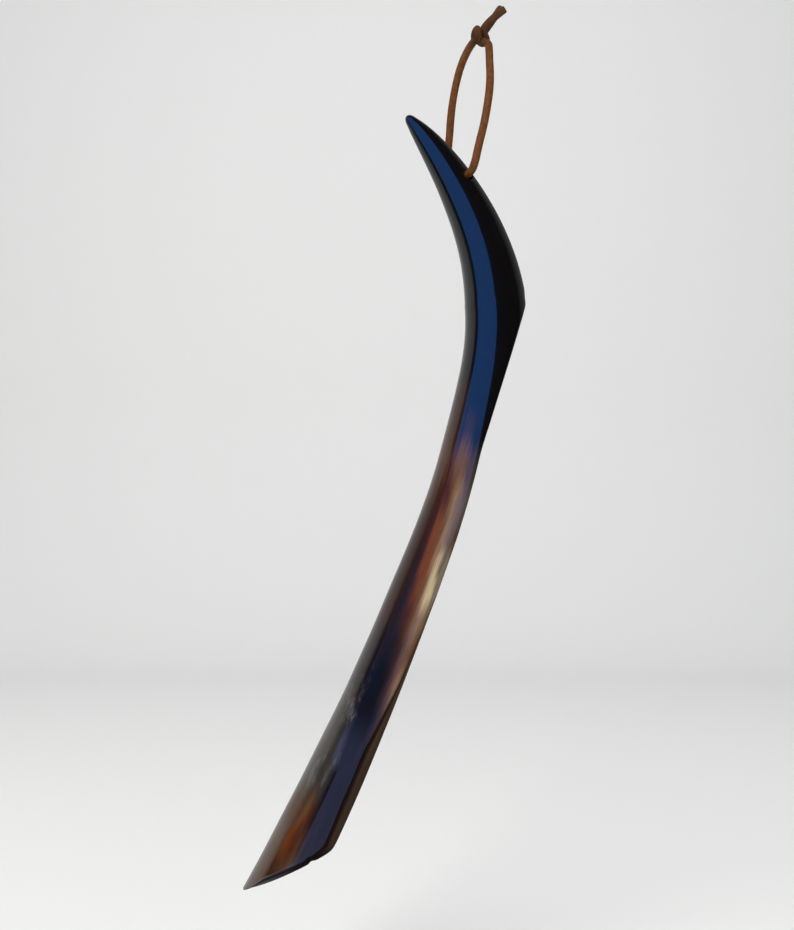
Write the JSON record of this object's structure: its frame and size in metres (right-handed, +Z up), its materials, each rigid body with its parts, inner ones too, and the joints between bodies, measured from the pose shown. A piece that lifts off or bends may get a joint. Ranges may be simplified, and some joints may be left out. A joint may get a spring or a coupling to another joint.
{
  "type": "shoehorn",
  "caption": "Long curved shoehorn carved from one whole horn: solid tapering tip as handle, hollow end cut open to a trough as blade, hung by a knotted leather thong.",
  "frame": {"origin": "where a wall hook bears on the thong, on the underside of its knot", "axes": "+Z up as it hangs; the horn curves in the XZ plane, along the wall, with its tip towards -X; +Y points into the wall"},
  "size_m": [0.1551, 0.0463, 0.508],
  "materials": {
    "horn": "polished natural horn, black at the tip, streaked brown and cream in the blade",
    "leather": "oiled round lace, mid brown"
  },
  "bodies": {
    "thong": {"thong_front": "leather", "thong_rear": "leather", "thong_knot": "leather", "thong_tail_front": "leather", "thong_tail_rear": "leather"},
    "horn": {"horn": "horn"}
  },
  "joints": [
    {"name": "horn_swing", "type": "hinge", "parent": "thong", "child": "horn", "pos_m": [-0.0125, 0.0015, -0.0835], "axis": [0.5, -0.866, 0], "range_deg": [-20, 45]}
  ]
}
